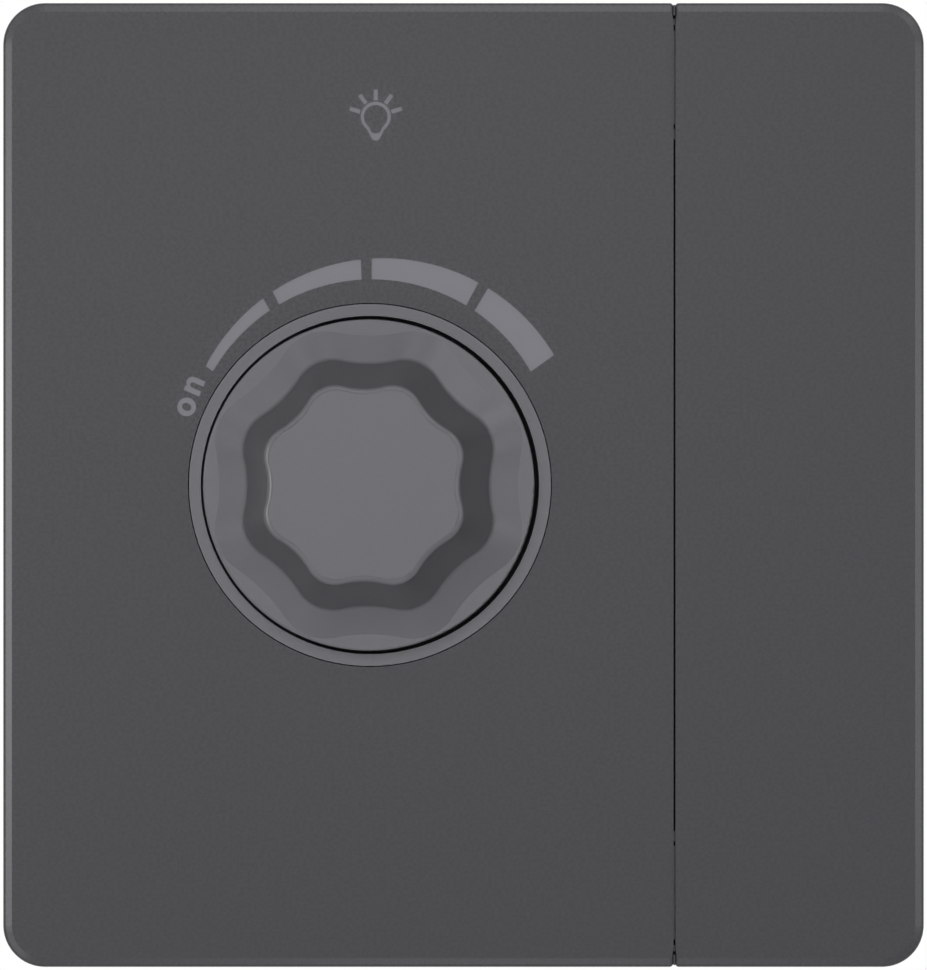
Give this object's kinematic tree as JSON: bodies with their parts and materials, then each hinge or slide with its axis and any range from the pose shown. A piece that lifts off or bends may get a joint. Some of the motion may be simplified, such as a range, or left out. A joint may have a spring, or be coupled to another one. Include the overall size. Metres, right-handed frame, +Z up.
{
  "type": "dimmer switch",
  "caption": "Flush wall dimmer: frameless charcoal cover, lobed rotary knob that turns and pushes, side rocker strip and a box-mounted insert.",
  "frame": {"origin": "centre of the plate on the wall plane, which is the back face of the support plate", "axes": "+X right and +Z up as seen from the room, +Y into the wall, so the room is towards -Y"},
  "size_m": [0.066, 0.0445, 0.069],
  "materials": {
    "cover_plastic": "matt charcoal moulding, fine texture",
    "knob_plastic": "satin mid-grey moulding",
    "frame_plastic": "matt dark grey moulding",
    "housing_plastic": "matt black moulding",
    "switch_plastic": "off-white natural nylon",
    "plated_steel": "zinc-plated sheet",
    "bright_steel": "turned or drawn steel",
    "brass": "machined brass",
    "board_laminate": "green solder mask",
    "carbon": "carbon on phenolic",
    "core_powder": "painted iron powder",
    "copper": "enamelled copper wire",
    "film_case": "filled epoxy box",
    "can_aluminium": "sleeved can",
    "heat_sink_aluminium": "plain sheet",
    "fuse_glass": "clear tube",
    "epoxy": "black encapsulation"
  },
  "bodies": {
    "insert": {"front_cover": "cover_plastic", "knob_ring": "knob_plastic", "carrier_frame": "frame_plastic", "support_plate": "plated_steel", "housing_lid": "housing_plastic", "rear_housing": "housing_plastic", "housing_screws": "plated_steel", "frame_screws": "plated_steel", "threaded_bush": "brass", "bush_washer": "plated_steel", "bush_nut": "plated_steel", "pot_case": "housing_plastic", "resistive_track": "carbon", "circuit_board": "board_laminate", "push_switch_case": "housing_plastic", "plunger_spring": "bright_steel", "push_switch_tabs": "brass", "choke_core": "core_powder", "choke_winding": "copper", "film_capacitor": "film_case", "electrolytic_capacitors": "can_aluminium", "fuse_caps": "plated_steel", "fuse_tube": "fuse_glass", "heat_sink": "heat_sink_aluminium", "triac": "epoxy", "triac_screw": "plated_steel", "control_chip": "epoxy", "terminal_clamps": "brass", "terminal_screws": "plated_steel", "rocker_pin": "bright_steel", "rocker_springs": "bright_steel", "switch_base": "housing_plastic", "toggle_pin": "bright_steel", "fixed_contacts": "brass"},
    "push_slider": {"switch_plunger": "switch_plastic"},
    "dial": {"knob": "knob_plastic", "control_shaft": "bright_steel", "knob_clip": "bright_steel", "shaft_clip": "bright_steel"},
    "rotor": {"wiper_rotor": "switch_plastic"},
    "side_strip": {"rocker_cap": "cover_plastic", "rocker_lever": "switch_plastic"},
    "see_saw": {"switch_toggle": "switch_plastic", "bridge_contact": "brass"}
  },
  "joints": [
    {"name": "knob_push", "type": "slide", "parent": "insert", "child": "push_slider", "axis": [0, 1, 0], "range_m": [0, 0.0012], "stiffness_N_per_m": 2500, "springref_m": -0.0008, "deforming": ["plunger_spring"]},
    {"name": "knob_turn", "type": "hinge", "parent": "push_slider", "child": "dial", "pos_m": [-0.0067, 0, 0], "axis": [0, 1, 0], "range_deg": [0, 270]},
    {"name": "rotor_turn", "type": "hinge", "parent": "insert", "child": "rotor", "pos_m": [-0.0067, 0, 0], "axis": [0, 1, 0], "range_deg": [0, 270]},
    {"name": "side_rocker", "type": "hinge", "parent": "insert", "child": "side_strip", "pos_m": [0.0229, -0.005, 0], "axis": [1, 0, 0], "range_deg": [-2.5, 2.5], "stiffness_Nm_per_rad": 2, "deforming": ["rocker_springs"]},
    {"name": "see_saw_tilt", "type": "hinge", "parent": "insert", "child": "see_saw", "pos_m": [0.018, 0.0085, 0], "axis": [1, 0, 0], "range_deg": [-7.2, 7.2]}
  ],
  "couplings": [
    {"joint": "rotor_turn", "follows": "knob_turn", "ratio": 1},
    {"joint": "see_saw_tilt", "follows": "side_rocker", "ratio": -2.8571}
  ]
}
